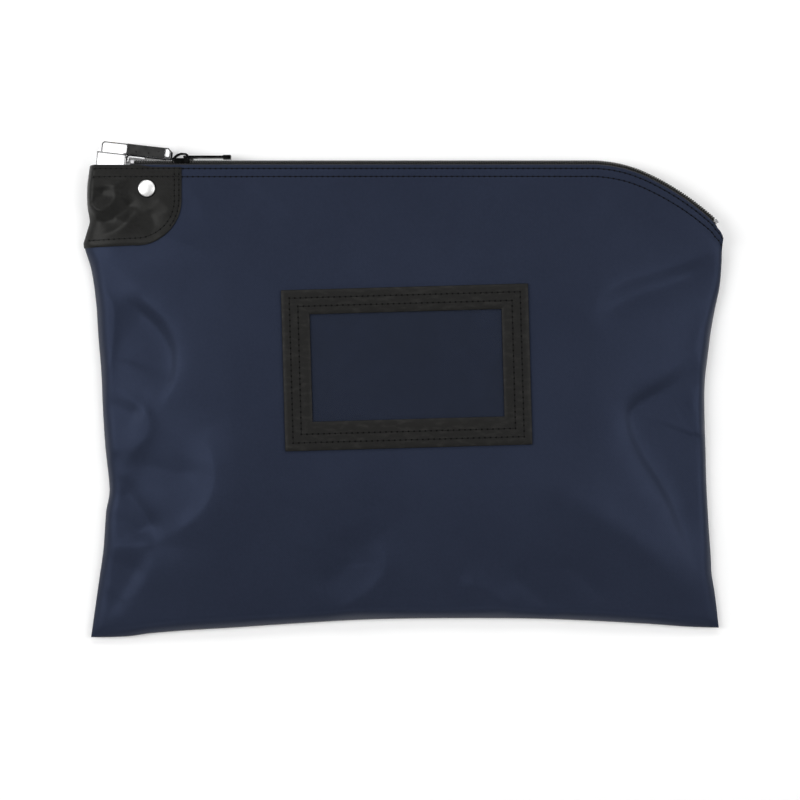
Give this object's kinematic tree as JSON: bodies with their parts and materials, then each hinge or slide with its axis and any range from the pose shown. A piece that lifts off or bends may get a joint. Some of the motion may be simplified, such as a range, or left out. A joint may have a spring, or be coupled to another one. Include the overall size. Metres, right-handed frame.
{
  "type": "cash deposit bag",
  "caption": "Flat zipped nylon deposit bag with a rounded mouth corner, a riveted corner patch, a pop-up key lock and a framed label window.",
  "frame": {"origin": "centre of the bag's plan box, on the surface that the back lies on", "axes": "+X along the zipped edge towards the rounded corner, +Y towards the zipped edge, +Z out of the front with the label window"},
  "size_m": [0.381, 0.2962, 0.0202],
  "materials": {
    "navy_nylon": "coated woven nylon",
    "black_nylon": "coated woven nylon",
    "black_tape": "woven tape",
    "black_coil": "satin",
    "black_vinyl": "grained vinyl",
    "clear_vinyl": "clear film",
    "chrome": "polished",
    "black_metal": "satin black",
    "brass": "machined",
    "spring_steel": "plain steel"
  },
  "bodies": {
    "bag": {"front_panel": "navy_nylon", "back_panel": "navy_nylon", "front_corner_patch": "black_nylon", "back_corner_patch": "black_nylon", "left_seam_binding": "black_tape", "right_seam_binding": "black_tape", "bottom_seam_binding": "black_tape", "front_zipper_tape": "black_tape", "back_zipper_tape": "black_tape", "front_coil": "black_coil", "back_coil": "black_coil", "zipper_start_stop": "spring_steel", "zipper_end_stop": "spring_steel", "label_window": "clear_vinyl", "label_frame": "black_vinyl", "rivet_cap": "chrome", "rivet_post": "chrome", "front_rivet_spacer": "spring_steel", "back_rivet_spacer": "spring_steel", "anchor_plate": "spring_steel", "anchor_screw_1": "spring_steel", "anchor_screw_2": "spring_steel", "lock_housing": "chrome", "slider_stop_tongue": "chrome", "pop_up_spring": "spring_steel"},
    "lock_head": {"lock_head": "chrome", "front_cover_plate": "black_metal", "back_cover_plate": "black_metal"},
    "key_plug": {"key_plug": "brass", "plug_retaining_clip": "spring_steel", "wafer_1": "brass", "wafer_2": "brass", "wafer_3": "brass", "wafer_4": "brass", "wafer_5": "brass"},
    "latch_bolt": {"latch_bolt": "spring_steel"},
    "slider": {"slider_body": "black_metal", "slider_bridge": "black_metal"},
    "pull_tab": {"pull_tab": "black_metal"}
  },
  "joints": [
    {"name": "slider_travel", "type": "slide", "parent": "bag", "child": "slider", "axis": [1, 0, 0], "range_m": [-0.0144, 0.232]},
    {"name": "pull_tab_swing", "type": "hinge", "parent": "slider", "child": "pull_tab", "pos_m": [-0.1303, 0.13895, 0.0085], "axis": [0, 0, 1], "range_deg": [0, 135]},
    {"name": "head_press", "type": "slide", "parent": "bag", "child": "lock_head", "axis": [-0.1132, -0.9936, 0], "range_m": [0, 0.0026], "stiffness_N_per_m": 350, "springref_m": -0.003, "deforming": ["pop_up_spring"]},
    {"name": "key_turn", "type": "hinge", "parent": "lock_head", "child": "key_plug", "pos_m": [-0.17244, 0.14745, 0.0085], "axis": [0.1132, 0.9936, 0], "range_deg": [0, 90]},
    {"name": "bolt_throw", "type": "slide", "parent": "lock_head", "child": "latch_bolt", "axis": [-0.9936, 0.1132, 0], "range_m": [0, 0.0015]}
  ],
  "couplings": [
    {"joint": "key_turn", "follows": "bolt_throw", "rad_per_m": 1047}
  ]
}
